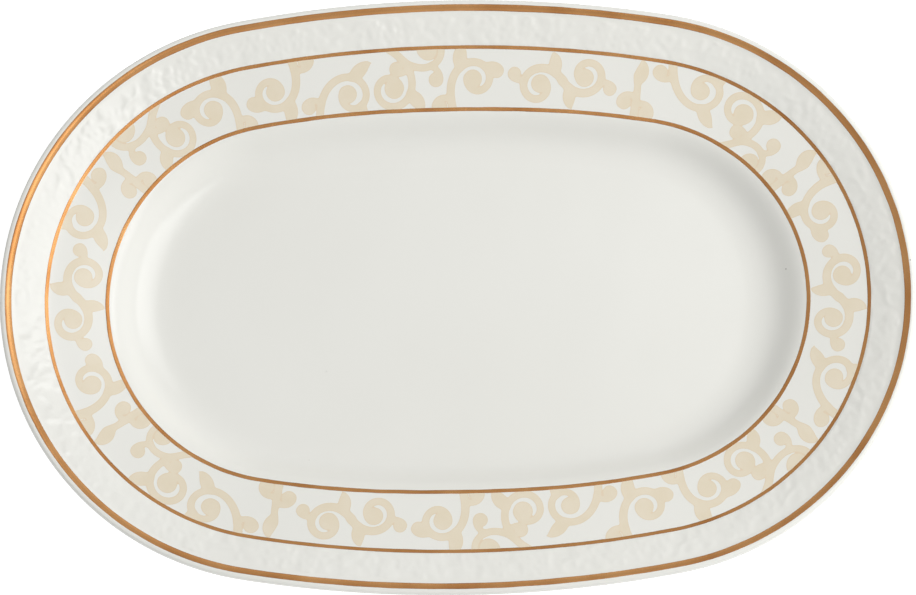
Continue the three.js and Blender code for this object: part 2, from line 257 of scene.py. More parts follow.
def smooth_profile(points, steps):
    """Catmull-Rom curve through profile points, with steps[i] parts between points i and i + 1."""
    points = np.array(points)
    padded = np.vstack([2 * points[0] - points[1], points, 2 * points[-1] - points[-2]])
    rows = []
    for i, count in enumerate(steps):
        before, start, end, after = padded[i : i + 4]
        pairs = ((before, start), (start, end), (end, after))
        into, along, out_of = [np.linalg.norm(b - a) ** 0.5 for a, b in pairs]
        leave = along * ((start - before) / into - (end - before) / (into + along)) + (end - start)
        arrive = along * ((after - end) / out_of - (after - start) / (along + out_of)) + (end - start)
        for t in np.arange(count) / count:
            rows.append(
                (2 * t**3 - 3 * t**2 + 1) * start
                + (t**3 - 2 * t**2 + t) * leave
                + (3 * t**2 - 2 * t**3) * end
                + (t**3 - t**2) * arrive
            )
    rows.append(points[-1])
    return np.array(rows)


# Lengths in the wall's share are weighed as if the wall had its mean width.
MEAN_WALL_WIDTH = (WALL_WIDTH_AT_SIDES + WALL_WIDTH_AT_ENDS) / 2


def profile_rows(points, steps):
    """Profile points, smoothed into as many rows as the mesh has rings."""
    weighed = [(base, share * MEAN_WALL_WIDTH, height) for base, share, height in points]
    rows = smooth_profile(weighed, steps)
    rows[:, 1] /= MEAN_WALL_WIDTH
    return rows


def ring_points(facing, width, row, lift=0.0):
    """One ring of the china: a profile row followed round the oval."""
    base, share, height = row
    x, y = rim_point(facing, base + share * width)
    return np.stack([x, y, np.broadcast_to(height + lift, x.shape)], axis=1)


# ---- moulded relief between the outer and the middle gilt line ----

RELIEF_START = 5.6
RELIEF_END = 16.8
RELIEF_MIDDLE = (RELIEF_START + RELIEF_END) / 2
CARTOUCHES = 20
RELIEF_HEIGHT = 0.44
OUTER_FADE = 0.9
INNER_FADE = 0.5
SOFTENINGS = 3
RIDGE_DOMES = 26
BLOSSOM_PETALS = 5
SMALL_PETALS = 70
EDGE_PETALS = 12
PEARLS = 6

# Within a cartouche, as distances (along, inwards): each scroll's two ends, how far the short one
# bows, and the blossoms with their sizes.
LONG_SCROLL = ((-1, 6.6), (10.5, 16.2))
SHORT_SCROLL = ((17, 6.6), (10.5, 15.6))
SHORT_BOW = -0.8
BLOSSOMS = [(22.5, 9.6, 3.4), (29.5, 12.6, 3.9), (37.0, 9.4, 3.5)]


class Relief:
    """Heights over the relief band, built up from domes on a grid of ring lengths and rows."""

    def __init__(self, columns, rows):
        self.turn = 2 * half_turn(RELIEF_MIDDLE)
        self.lengths = np.arange(columns) * self.turn / columns
        self.rows = np.asarray(rows)
        self.heights = np.zeros((len(rows), columns))

    def window(self, length, reach):
        """Column numbers near a length, and their distances from it."""
        step = self.turn / len(self.lengths)
        middle = int(round(length / step))
        half = int(reach / step) + 1
        numbers = np.arange(middle - half, middle + half + 1)
        return numbers % len(self.lengths), numbers * step - length

    def petal(self, length, inwards, long, short, angle, height):
        """A dome with a long and a short half-axis, turned by an angle."""
        columns, along = self.window(length, long + short)
        across = (self.rows - inwards)[:, None]
        u = (along * math.cos(angle) + across * math.sin(angle)) / long
        w = (across * math.cos(angle) - along * math.sin(angle)) / short
        dome = height * np.clip(1 - u**2 - w**2, 0, 1)
        self.heights[:, columns] = np.maximum(self.heights[:, columns], dome)

    def pearl(self, length, inwards, radius, height):
        """A round dome."""
        self.petal(length, inwards, radius, radius, 0.0, height)

    def ridge(self, points, thick, height):
        """A slender ridge through points (length, inwards), thickest in its middle."""
        shares = np.linspace(0, 1, RIDGE_DOMES)
        given = np.linspace(0, 1, len(points))
        places = np.interp(shares, given, [p[0] for p in points])
        depths = np.interp(shares, given, [p[1] for p in points])
        for i in range(1, RIDGE_DOMES - 1):
            swell = math.sin(math.pi * i / (RIDGE_DOMES - 1)) ** 0.6
            angle = math.atan2(depths[i + 1] - depths[i - 1], places[i + 1] - places[i - 1])
            short = thick * swell + 0.15
            self.petal(places[i], depths[i], 1.5 * thick, short, angle, height * swell)


def s_curve(start, end, bow, place, count=9):
    """Points of an S from start to end, moved along to a place, that bows out to each side."""
    (x0, y0), (x1, y1) = start, end
    x0, x1 = place + x0, place + x1
    span = math.hypot(x1 - x0, y1 - y0)
    side = ((y0 - y1) / span, (x1 - x0) / span)
    points = []
    for i in range(count):
        t = i / (count - 1)
        out = bow * math.sin(2 * math.pi * t)
        points.append((x0 + (x1 - x0) * t + side[0] * out, y0 + (y1 - y0) * t + side[1] * out))
    return points


def blossom(relief, length, inwards, size, turn):
    """Petals round a pearl."""
    for k in range(BLOSSOM_PETALS):
        angle = turn + 2 * math.pi * k / BLOSSOM_PETALS
        relief.petal(
            length + 0.62 * size * math.cos(angle),
            inwards + 0.62 * size * math.sin(angle),
            0.46 * size,
            0.34 * size,
            angle,
            RELIEF_HEIGHT,
        )
    relief.pearl(length, inwards, 0.24 * size, 1.15 * RELIEF_HEIGHT)


def cartouche(relief, start, period, rng):
    """Two scrolls that meet, pearls, blossoms, scattered petals, and a row of petals inwards."""
    bow = 1.6 + 0.4 * rng.random()
    relief.ridge(s_curve(*LONG_SCROLL, bow, start), 0.62, 1.1 * RELIEF_HEIGHT)
    relief.ridge(s_curve(*SHORT_SCROLL, SHORT_BOW, start), 0.5, 0.8 * RELIEF_HEIGHT)
    for i in range(PEARLS):
        inwards = 15.4 - 0.5 * i - 0.14 * i * i
        relief.pearl(start + 12.2 + 1.75 * i, inwards, 0.5 + 0.05 * i, RELIEF_HEIGHT)
    for along, inwards, size in BLOSSOMS:
        shift = rng.uniform(-0.8, 0.8, 2)
        turn = rng.uniform(0, 6.3)
        blossom(relief, start + along + shift[0], inwards + shift[1], size, turn)
    for _ in range(SMALL_PETALS):
        along = start + 4 + rng.random() * (period - 4)
        inwards = RELIEF_START + 1.3 + (RELIEF_END - RELIEF_START - 2.0) * rng.random() ** 0.8
        long = rng.uniform(1.4, 3.0)
        height = rng.uniform(0.4, 0.85) * RELIEF_HEIGHT
        relief.petal(along, inwards, long, 0.6 * long + 0.2, rng.uniform(0, 3.2), height)
    for i in range(EDGE_PETALS):
        along = start + 19 + i * (period - 21) / (EDGE_PETALS - 1)
        odd = i % 2
        relief.petal(along, 15.9 + 0.3 * odd, 1.2, 0.8, 0.5 + 0.9 * odd, 0.8 * RELIEF_HEIGHT)


def relief_heights(columns, rows):
    """The relief's heights: cartouches side by side, softened and faded out at both sides."""
    relief = Relief(columns, rows)
    rng = np.random.default_rng(11)
    period = relief.turn / CARTOUCHES
    for k in range(CARTOUCHES):
        cartouche(relief, k * period, period, rng)
    into = np.clip((relief.rows - RELIEF_START) / OUTER_FADE, 0, 1)
    out_of = np.clip((RELIEF_END - relief.rows) / INNER_FADE, 0, 1)
    fade = (into**2 * (3 - 2 * into) * out_of**2 * (3 - 2 * out_of))[:, None]
    return soften(relief.heights) * fade


def soften(heights):
    """The glaze flows into the relief's corners: a small blur along and across."""
    for _ in range(SOFTENINGS):
        heights = (np.roll(heights, 1, axis=1) + 2 * heights + np.roll(heights, -1, axis=1)) / 4
        padded = np.vstack([heights[:1], heights, heights[-1:]])
        heights = (padded[:-2] + 2 * padded[1:-1] + padded[2:]) / 4
    return heights


# ---- china body ----

COLUMNS = 440
RELIEF_RATIO = 4
STEPS_TO_RELIEF = [2] * 11 + [3, 2, 6, 6, 2]
STEPS_OVER_RELIEF = [12, 11]
STEPS_TO_LIP = [3, 4, 4, 3, 3, 2, 2, 2, 2, 2]
STEPS_UNDER = [3, 5, 4, 4, 3, 3, 3, 3, 3, 2]
FLOOR_RINGS = 6
RECESS_RINGS = (0.7, 0.4)

# The rim's upper side is all that lies higher than BELOW_RIM and further inwards than ON_EDGE.
BELOW_RIM = 18.5
ON_EDGE = 0.05

TOP_ROWS = profile_rows(TOP_PROFILE, STEPS_TO_RELIEF + STEPS_OVER_RELIEF + STEPS_TO_LIP)
UNDER_ROWS = profile_rows(UNDER_PROFILE, STEPS_UNDER)


def column_facings(count):
    """Facings of columns that are evenly spaced along the middle of the relief."""
    lengths = np.arange(count) * 2 * half_turn(RELIEF_MIDDLE) / count
    return facing_at(lengths, RELIEF_MIDDLE)


def rim_height(inwards):
    """The height of the rim's upper side, without relief, a distance inwards from the edge."""
    on_rim = TOP_ROWS[(TOP_ROWS[:, 1] == 0) & (TOP_ROWS[:, 2] > BELOW_RIM)][::-1]
    top = on_rim[np.argmax(on_rim[:, 0] > ON_EDGE) :]
    top = top[np.concatenate([[True], np.diff(top[:, 0]) > 0])]
    return np.interp(inwards, top[:, 0], top[:, 2])


def china_body():
    """The body as rings: out from the floor's middle, over the lip and in again underneath."""
    facing = column_facings(COLUMNS)
    width = wall_width(facing)
    relief_from = sum(STEPS_TO_RELIEF)
    relief_to = relief_from + sum(STEPS_OVER_RELIEF)
    shell = Shell()
    shell.add(np.array([[0.0, 0.0, FLOOR_TOP]]))
    floor_ring = ring_points(facing, width, TOP_ROWS[0])
    for share in np.arange(1, FLOOR_RINGS) / FLOOR_RINGS:
        shell.add(floor_ring * [share, share, 1])
    for row in TOP_ROWS[: relief_from + 1]:
        shell.add(ring_points(facing, width, row))

    fine_facing = column_facings(COLUMNS * RELIEF_RATIO)
    relief_rows = TOP_ROWS[relief_from + 1 : relief_to]
    for row, lift in zip(relief_rows, relief_heights(len(fine_facing), relief_rows[:, 0])):
        shell.add(ring_points(fine_facing, 0.0, row, lift))

    foot_inner = (UNDER_ROWS[-1][0] + FOOT_WIDTH, FOOT_PLACE, FOOT_HEIGHT)
    for row in [*TOP_ROWS[relief_to:], *UNDER_ROWS[1:], foot_inner]:
        shell.add(ring_points(facing, width, row))
    recess = shell.rings[-1]
    for share in RECESS_RINGS:
        shell.add(recess * [share, share, 1])
    shell.add(np.array([[0.0, 0.0, FOOT_HEIGHT]]))
    return new_object("china_body_fine", np.vstack(shell.rings), shell.faces)


# ---- foot ring ----

# Distance inwards from the foot's outer side, height.
FOOT_PROFILE = [
    (0.0, FOOT_HEIGHT),
    (0.15, 2.4),
    (0.38, 0.75),
    (0.75, 0.12),
    (1.2, 0.0),
    (3.0, 0.0),
    (3.45, 0.12),
    (3.82, 0.75),
    (4.05, 2.4),
    (FOOT_WIDTH, FOOT_HEIGHT),
]


def foot_ring():
    """A closed ring under the body, rounded where it stands."""
    facing = column_facings(COLUMNS)
    width = wall_width(facing)
    base = TOP_PROFILE[0][0]
    rows = [(base + inwards, FOOT_PLACE, height) for inwards, height in FOOT_PROFILE]
    rings = [ring_points(facing, width, row) for row in rows]
    faces = []
    for i in range(len(rings)):
        after = (i + 1) % len(rings)
        faces += ring_quads(after * COLUMNS, i * COLUMNS, COLUMNS)
    return new_object("foot_ring_fine", np.vstack(rings), faces, sharp=True)


# ---- gilt lines ----

GILT_COLUMNS = 960
GILT_LIFT = 0.055
GILT_SINK = 0.12
GILT_SIDE_DROP = 0.5
GILT_FLATNESS = 8
GRAIN_ALONG = 0.02


def waver(lengths, turn, seed, waves=9):
    """A smooth wobble from -1 to 1 that closes on itself after a turn."""
    rng = np.random.default_rng(seed)
    total = np.zeros_like(lengths)
    for _ in range(waves):
        cycles = rng.integers(5, 70)
        size = rng.uniform(0.3, 1)
        start = rng.uniform(0, 6.3)
        total += size * np.sin(2 * math.pi * cycles * lengths / turn + start)
    return total / np.abs(total).max()


def gilt_line(name, start, end, seed, hand, steps=6):
    """A thin film of gold between two distances inwards. hand is how far its sides wander."""
    middle = (start + end) / 2
    turn = 2 * half_turn(middle)
    lengths = np.arange(GILT_COLUMNS) * turn / GILT_COLUMNS
    facing = facing_at(lengths, middle)
    outer = start + hand * waver(lengths, turn, seed)
    inner = end + hand * waver(lengths, turn, seed + 1)
    shares = np.linspace(0, 1, steps + 1)
    rings, grain, edge = [], [], []
    drops = GILT_SIDE_DROP * abs(2 * shares - 1) ** GILT_FLATNESS
    profile = [(share, GILT_LIFT * (1 - drop)) for share, drop in zip(shares, drops)]
    profile += [(1.0, -GILT_SINK), (0.0, -GILT_SINK)]
    for share, lift in profile:
        inwards = outer + (inner - outer) * share
        x, y = rim_point(facing, inwards)
        across = np.full_like(x, share * (end - start))
        rings.append(np.stack([x, y, rim_height(inwards) + lift], axis=1))
        grain.append(np.stack([x * GRAIN_ALONG, y * GRAIN_ALONG, across], axis=1))
        # edge: how near a point lies to the line's sides, where painted shade darkens the gold
        edge.append(np.full_like(x, abs(2 * share - 1)))
    faces = []
    for i in range(len(rings)):
        after = (i + 1) % len(rings)
        faces += ring_quads(i * GILT_COLUMNS, after * GILT_COLUMNS, GILT_COLUMNS)
    attributes = {"grain": np.vstack(grain), "edge": np.concatenate(edge)}
    return new_object(name, np.vstack(rings), faces, attributes, sharp=True)


# ---- scroll print ----

# The border is drawn flat: x along the rim, y from the inner gilt line out to the middle one.
BAND_START = MIDDLE_GILT[1]
BAND_END = INNER_GILT[0]
BAND_WIDTH = BAND_END - BAND_START
BAND_MIDDLE = (BAND_START + BAND_END) / 2
PRINT_LIFT = 0.03
PRINT_SINK = 0.09
UNDER_GILT = 0.3
GRID = 0.5
GRID_MARGIN = 4
FAR = 50.0
STEM_ROOT = -1.5
LEAF_WIDTH = (2.2, 0.6)
STROKE_STEP = 0.5
BLEND = 0.8
INK_SPREAD = 0.2
BULB_GAIN = 0.3


def stem(turn, length, bend, width, bulb):
    """A stroke that starts where its motif does."""
    return (None, 0.0, turn, length, bend, width, bulb, 0.0)


def shoot(parent, at, turn, length, bend, width, bulb):
    """A stroke that grows from another one."""
    return (parent, at, turn, length, bend, width, bulb, 0.0)


def leaf(parent, at, turn, length, bend, swell):
    """A shoot that swells and ends in a point."""
    return (parent, at, turn, length, bend, LEAF_WIDTH, 0.0, swell)


# A motif: its width, where its stem starts, the stem's heading, and its strokes. A stroke grows
# from a parent stroke at a share of its length, turned by some degrees. Its curvature and width
# change evenly. It ends in a round bulb, or swells and ends in a point, as a leaf.
MOTIFS = {
    "rise": (27.6, (8.3, STEM_ROOT), 104, [
        stem(0, 47, (-0.018, -0.27), (2.9, 2.2), 3.0),
        shoot(0, 0.10, 62, 8.5, (0.1, 0.4), (2, 2.2), 2.4),
        leaf(0, 0.36, 40, 10, (0.1, -0.3), 3.4),
        shoot(0, 0.58, 62, 7, (-0.05, -0.42), (1.8, 2), 2.1),
    ]),
    "twin": (27.4, (5.8, STEM_ROOT), 34, [
        stem(0, 53, (0.022, 0.25), (2.6, 2.2), 3.2),
        shoot(0, 0.16, -20, 37, (-0.045, -0.34), (2.4, 2), 2.7),
        leaf(0, 0.4, -62, 8.5, (-0.1, 0.25), 3.4),
        shoot(1, 0.3, 52, 7.5, (0.06, 0.38), (1.8, 2), 2.2),
        shoot(0, 0.22, 70, 6.5, (0.1, 0.42), (1.8, 2), 2.1),
    ]),
    "wave": (41.8, (20.9, BAND_WIDTH / 2), -52, [
        stem(0, 39, (0.075, 0.27), (3, 2.2), 2.9),
        stem(180, 39, (0.075, 0.27), (3, 2.2), 2.9),
        leaf(0, 0.1, -50, 8, (-0.1, 0.24), 3.0),
        leaf(1, 0.1, -50, 8, (-0.1, 0.24), 3.0),
        shoot(0, 0.46, -60, 6, (-0.05, -0.44), (1.8, 2), 2.0),
        shoot(1, 0.46, -60, 6, (-0.05, -0.44), (1.8, 2), 2.0),
    ]),
    "sprig": (14.4, (7.2, STEM_ROOT), 86, [
        stem(0, 17, (0.03, -0.05), (3, 2), 0.0),
        shoot(0, 0.35, 66, 9.5, (0.1, 0.44), (2, 2.1), 2.4),
        shoot(0, 0.5, -62, 8.5, (-0.1, -0.46), (2, 2.1), 2.3),
        leaf(0, 0.86, 24, 9, (0.05, -0.26), 3.2),
    ]),
    "hook": (28.2, (21.9, STEM_ROOT), 98, [
        stem(0, 50, (0.02, 0.255), (2.7, 2.1), 2.9),
        shoot(0, 0.12, -66, 8, (-0.12, -0.42), (1.9, 2.1), 2.2),
        leaf(0, 0.46, -38, 9.5, (-0.16, 0.22), 3.2),
        leaf(0, 0.74, -58, 7.5, (0.02, 0.36), 2.8),
    ]),
}

# Half of the border: motif, distance to the next one, whether it hangs from the middle line
# (down) and whether it runs the other way (back), and how many CAD nodes it stands for.
HALF_BORDER = [
    ("rise", 26.5, False, False, 1),
    ("twin", 25.0, True, False, 2),
    ("sprig", 11.0, False, False, 1),
    ("hook", 28.5, True, True, 1),
    ("wave", 44.0, False, False, 1),
    ("rise", 23.0, True, True, 1),
    ("sprig", 16.5, False, True, 1),
    ("twin", 28.0, False, True, 2),
    ("hook", 26.0, True, False, 1),
    ("sprig", 15.5, False, False, 1),
    ("wave", 44.0, True, False, 1),
    ("rise", 22.5, False, True, 1),
    ("twin", 28.0, True, True, 2),
    ("hook", 21.5, False, False, 1),
    ("rise", 25.0, True, False, 1),
]


def stroke_path(stroke, x, y, heading):
    """Points x, y, heading and half-width along a stroke's middle."""
    _, _, _, length, bend, width, _, swell = stroke
    count = round(length / STROKE_STEP)
    points = []
    for i in range(count + 1):
        share = i / count
        full = width[0] + (width[1] - width[0]) * share
        if swell:
            full += swell * math.sin(math.pi * share**0.8) ** 1.3
            full *= min(1, (1 - share) * 6 + 0.12)
        points.append((x, y, heading, full / 2))
        curvature = bend[0] + (bend[1] - bend[0]) * (i + 0.5) / count
        halfway = heading + curvature * STROKE_STEP / 2
        x += math.cos(halfway) * STROKE_STEP
        y += math.sin(halfway) * STROKE_STEP
        heading += curvature * STROKE_STEP
    return points


def grow(motif):
    """The motif's strokes as chains of circles (x, y, radius), each grown from its parent."""
    _, start, first_heading, strokes = motif
    paths, chains = [], []
    for stroke in strokes:
        parent, at, turn, _, bend, _, bulb, _ = stroke
        x, y, heading = *start, math.radians(first_heading)
        if parent is not None:
            x, y, heading, _ = paths[parent][round(at * (len(paths[parent]) - 1))]
        path = stroke_path(stroke, x, y, heading + math.radians(turn))
        paths.append(path)
        chains.append([(px, py, half) for px, py, _, half in path])
        if bulb:
            x, y, heading, half = path[-1]
            towards = heading + math.copysign(math.pi / 2, bend[1])
            radius = bulb + BULB_GAIN
            offset = radius - half
            centre = (x + offset * math.cos(towards), y + offset * math.sin(towards), radius)
            chains.append([centre, centre])
    return chains


def field(chains, x, y):
    """Signed distance to the strokes, negative inside, with the corners between them filleted."""
    total = np.full(x.shape, FAR)
    for chain in chains:
        nearest = np.full(x.shape, FAR)
        for (ax, ay, ar), (bx, by, br) in zip(chain[:-1], chain[1:]):
            dx, dy = bx - ax, by - ay
            t = np.clip(((x - ax) * dx + (y - ay) * dy) / max(dx * dx + dy * dy, 1e-9), 0, 1)
            distance = np.hypot(x - ax - dx * t, y - ay - dy * t) - (ar + (br - ar) * t)
            nearest = np.minimum(nearest, distance)
        share = np.clip(0.5 + 0.5 * (total - nearest) / BLEND, 0, 1)
        total = total * (1 - share) + nearest * share - BLEND * share * (1 - share)
    return total


def flat_motif(motif):
    """A motif as flat polygons on a grid, cut where the field is zero.

    Gives points (x, y), each point's distance from the edge of the colour, and the polygons.
    """
    xs = np.arange(-GRID_MARGIN, motif[0] + GRID_MARGIN + GRID, GRID)
    rows = round((BAND_WIDTH + 2 * UNDER_GILT) / GRID)
    ys = np.linspace(-UNDER_GILT, BAND_WIDTH + UNDER_GILT, rows + 1)
    x, y = np.meshgrid(xs, ys)
    values = field(grow(motif), x, y) - INK_SPREAD
    points, inset, numbers, polygons = [], [], {}, []

    def corner(key):
        if key not in numbers:
            numbers[key] = len(points)
            i, j = key
            points.append((x[i, j], y[i, j]))
            inset.append(-values[i, j])
        return numbers[key]

    def crossing(a, b):
        key = (min(a, b), max(a, b))
        if key not in numbers:
            numbers[key] = len(points)
            (i, j), (k, m) = key
            t = values[i, j] / (values[i, j] - values[k, m])
            points.append((x[i, j] + t * (x[k, m] - x[i, j]), y[i, j] + t * (y[k, m] - y[i, j])))
            inset.append(0.0)
        return numbers[key]

    inside = values < 0
    for i in range(len(ys) - 1):
        for j in range(len(xs) - 1):
            corners = [(i, j), (i, j + 1), (i + 1, j + 1), (i + 1, j)]
            if not any(inside[c] for c in corners):
                continue
            polygon = []
            for a, b in zip(corners, corners[1:] + corners[:1]):
                if inside[a]:
                    polygon.append(corner(a))
                if inside[a] != inside[b]:
                    polygon.append(crossing(a, b))
            polygons.append(polygon)
    return np.array(points), np.array(inset), polygons


def bent_motif(name, flat, place, width, down, back):
    """A flat motif bent round the rim as a thin closed leaf of colour."""
    points, inset, polygons = flat
    along = place + (width - points[:, 0] if back else points[:, 0])
    out = BAND_WIDTH - points[:, 1] if down else points[:, 1]
    inwards = BAND_END - out
    x, y = rim_point(facing_at(along, BAND_MIDDLE), inwards)
    height = rim_height(inwards)
    top = np.stack([x, y, height + PRINT_LIFT], axis=1)
    under = np.stack([x, y, height - PRINT_SINK], axis=1)
    count = len(points)
    if down == back:
        polygons = [polygon[::-1] for polygon in polygons]
    edges = {}
    for polygon in polygons:
        for a, b in zip(polygon, polygon[1:] + polygon[:1]):
            edges[(a, b)] = True
    sides = [(b, a, a + count, b + count) for a, b in edges if (b, a) not in edges]
    backs = [[n + count for n in polygon[::-1]] for polygon in polygons]
    faces = polygons + backs + sides
    attributes = {"inset": np.concatenate([inset, inset])}
    return new_object(name, np.vstack([top, under]), faces, attributes, sharp=True)


def scroll_prints():
    """The whole border: the half border twice, with any slack shared out between its motifs."""
    flat = {name: flat_motif(motif) for name, motif in MOTIFS.items()}
    slack = half_turn(BAND_MIDDLE) - sum(entry[1] for entry in HALF_BORDER)
    prints = []
    node = 1
    for half in range(2):
        place = half * half_turn(BAND_MIDDLE)
        for motif, pitch, down, back, nodes in HALF_BORDER:
            names = [f"scroll_print_{number:02d}" for number in range(node, node + nodes)]
            name = f"{names[0]}_fine"
            scroll = bent_motif(name, flat[motif], place, MOTIFS[motif][0], down, back)
            prints.append(piece(scroll, "print", *names))
            node += nodes
            place += pitch + slack / len(HALF_BORDER)
    return prints


# ---- materials ----


class Nodes:
    """Builds one material's node tree."""

    def __init__(self, name):
        self.material = bpy.data.materials.new(name)
        self.material.use_nodes = True
        self.tree = self.material.node_tree
        self.shader = self.tree.nodes["Principled BSDF"]
        self.object_space = self.add("ShaderNodeTexCoord").outputs["Object"]

    def add(self, kind, **settings):
        node = self.tree.nodes.new(kind)
        for key, value in settings.items():
            setattr(node, key, value)
        return node

    def link(self, source, target):
        self.tree.links.new(source, target)

    def noise(self, scale, detail=2.0, vector=None, roughness=0.5):
        """Soft random clouds."""
        node = self.add("ShaderNodeTexNoise")
        node.inputs["Scale"].default_value = scale
        node.inputs["Detail"].default_value = detail
        node.inputs["Roughness"].default_value = roughness
        self.link(vector or self.object_space, node.inputs["Vector"])
        return node.outputs["Fac"]

    def cells(self, scale, output="Distance"):
        """Random cells: the distance from each one's middle, or its colour."""
        node = self.add("ShaderNodeTexVoronoi")
        node.inputs["Scale"].default_value = scale
        self.link(self.object_space, node.inputs["Vector"])
        return node.outputs[output]

    def attribute(self, name, output="Fac"):
        """A value that the mesh holds at its points."""
        return self.add("ShaderNodeAttribute", attribute_name=name).outputs[output]

    def spread(self, value, from_low, from_high, low, high, smooth=False):
        """Maps a value's range to another range."""
        node = self.add("ShaderNodeMapRange")
        if smooth:
            node.interpolation_type = "SMOOTHSTEP"
        for index, number in enumerate((from_low, from_high, low, high)):
            node.inputs[index + 1].default_value = number
        self.link(value, node.inputs[0])
        return node.outputs[0]

    def math(self, operation, first, second):
        """Arithmetic on two values, each a number or a socket."""
        node = self.add("ShaderNodeMath", operation=operation)
        for index, value in enumerate((first, second)):
            if isinstance(value, (int, float)):
                node.inputs[index].default_value = value
            else:
                self.link(value, node.inputs[index])
        return node.outputs[0]

    def mix(self, share, first, second):
        """Mixes two colours, each a colour or a socket."""
        node = self.add("ShaderNodeMix", data_type="RGBA")
        self.link(share, node.inputs["Factor"])
        for key, value in (("A", first), ("B", second)):
            socket = next(s for s in node.inputs if s.name == key and s.type == "RGBA")
            if isinstance(value, tuple):
                socket.default_value = (*value, 1.0)
            else:
                self.link(value, socket)
        return next(s for s in node.outputs if s.type == "RGBA")

    def bump(self, height, distance, after=None):
        """Tilts the surface as a height would, on top of another bump if there is one."""
        node = self.add("ShaderNodeBump")
        node.inputs["Distance"].default_value = distance
        node.inputs["Strength"].default_value = 1.0
        self.link(height, node.inputs["Height"])
        if after:
            self.link(after, node.inputs["Normal"])
        return node.outputs["Normal"]

    def finish(self, colour=None, roughness=None, normal=None):
        """Links what is given to the shader, and gives the material."""
        for key, value in (("Base Color", colour), ("Roughness", roughness), ("Normal", normal)):
            if value is not None:
                self.link(value, self.shader.inputs[key])
        return self.material


GLAZE_IOR = 1.5
GLAZE_SHINE = 1.0
CHINA_WHITE = (0.850, 0.848, 0.800)
CHINA_SHADE = (0.836, 0.833, 0.783)
SPECK = (0.20, 0.17, 0.14)
BISCUIT = (0.66, 0.64, 0.59)
BISCUIT_STAIN = (0.52, 0.49, 0.43)


def glaze_colour(nodes):
    """Near-white, cloudy over centimetres, with very few pinhole specks."""
    cloudy = nodes.spread(nodes.noise(9, 3), 0.35, 0.65, 0, 1)
    ground = nodes.mix(cloudy, CHINA_WHITE, CHINA_SHADE)
    near = nodes.spread(nodes.cells(85), 0.014, 0.024, 1, 0, smooth=True)
    chosen = nodes.spread(nodes.cells(85, output="Color"), 0.66, 0.68, 0, 1)
    return nodes.mix(nodes.math("MULTIPLY", near, chosen), ground, SPECK)


def glaze_normal(nodes):
    """The glaze's slow waves, and its finer orange-peel."""
    waves = nodes.bump(nodes.noise(26, 1.5), 0.0004)
    return nodes.bump(nodes.noise(420, 1.0), 0.000006, after=waves)


def china_material():
    """White glazed china."""
    nodes = Nodes("glazed_china")
    roughness = nodes.spread(nodes.noise(60, 3), 0.3, 0.7, 0.05, 0.09)
    nodes.shader.inputs["IOR"].default_value = GLAZE_IOR
    nodes.shader.inputs["Specular IOR Level"].default_value = GLAZE_SHINE
    return nodes.finish(glaze_colour(nodes), roughness, glaze_normal(nodes))


def foot_material():
    """Glazed sides, and a bare ground edge that the platter stands on."""
    nodes = Nodes("glazed_and_ground_foot")
    height = nodes.add("ShaderNodeSeparateXYZ")
    nodes.link(nodes.object_space, height.inputs[0])
    uneven = nodes.spread(nodes.noise(140, 3), 0.3, 0.7, -0.00018, 0.00018)
    edge = nodes.math("ADD", height.outputs["Z"], uneven)
    bare = nodes.spread(edge, 0.00045, 0.00065, 1, 0, smooth=True)
    grit = nodes.noise(2600, 4, roughness=0.7)
    stained = nodes.spread(nodes.noise(70, 4), 0.45, 0.75, 0, 1)
    ground_colour = nodes.mix(stained, BISCUIT, BISCUIT_STAIN)
    colour = nodes.mix(bare, glaze_colour(nodes), ground_colour)
    roughness = nodes.spread(bare, 0, 1, 0.07, 0.85)
    normal = nodes.bump(nodes.math("MULTIPLY", grit, bare), 0.00008, after=glaze_normal(nodes))
    return nodes.finish(colour, roughness, normal)


GOLD = (0.86, 0.455, 0.185)
GOLD_WORN = (0.68, 0.295, 0.095)
# Painted shade: a dark gold laid along the sides of each gilt line
GOLD_PAINTED_SHADE = (0.42, 0.20, 0.090)


def gilt_material():
    """Burnished gold, streaked along the brush's way, worn in patches, with painted shade darkening
    it at its sides.
    """
    nodes = Nodes("burnished_gilt")
    streaks = nodes.noise(2600, 3, vector=nodes.attribute("grain", "Vector"))
    patches = nodes.noise(55, 4)
    worn = nodes.spread(nodes.math("ADD", streaks, patches), 0.85, 1.25, 0, 1)
    burnished = nodes.mix(worn, GOLD, GOLD_WORN)
    # Painted shade: each line is darkened towards both its sides, over a width that wanders with the
    # patches
    ragged_painted_shade = nodes.math("ADD", nodes.attribute("edge"), nodes.spread(patches, 0.3, 0.7, -0.15, 0.15))
    colour = nodes.mix(nodes.spread(ragged_painted_shade, 0.75, 1.05, 0, 0.75, smooth=True), burnished, GOLD_PAINTED_SHADE)
    roughness = nodes.spread(streaks, 0.3, 0.7, 0.14, 0.24)
    nodes.shader.inputs["Metallic"].default_value = 1.0
    normal = nodes.bump(streaks, 0.00002, after=nodes.bump(nodes.noise(300, 2), 0.00003))
    return nodes.finish(colour, roughness, normal)


CREAM = (0.790, 0.702, 0.537)
CREAM_PALE = (0.812, 0.730, 0.577)
PEACH = (0.782, 0.650, 0.468)


def print_material():
    """Cream colour under the glaze, denser along its edge and faintly dotted."""
    nodes = Nodes("cream_print")
    uneven = nodes.spread(nodes.noise(120, 3), 0.35, 0.65, 0, 1)
    fill = nodes.mix(uneven, CREAM, CREAM_PALE)
    dots = nodes.spread(nodes.cells(2600), 0.2, 0.45, 0.25, 0, smooth=True)
    dotted = nodes.mix(dots, fill, PEACH)
    edge = nodes.spread(nodes.attribute("inset"), 0.05, 0.4, 0.9, 0, smooth=True)
    colour = nodes.mix(edge, dotted, PEACH)
    nodes.shader.inputs["IOR"].default_value = GLAZE_IOR
    nodes.shader.inputs["Specular IOR Level"].default_value = GLAZE_SHINE
    roughness = nodes.spread(nodes.noise(60, 3), 0.3, 0.7, 0.06, 0.11)
    return nodes.finish(colour, roughness, glaze_normal(nodes))


# ---- floor, lights and camera ----


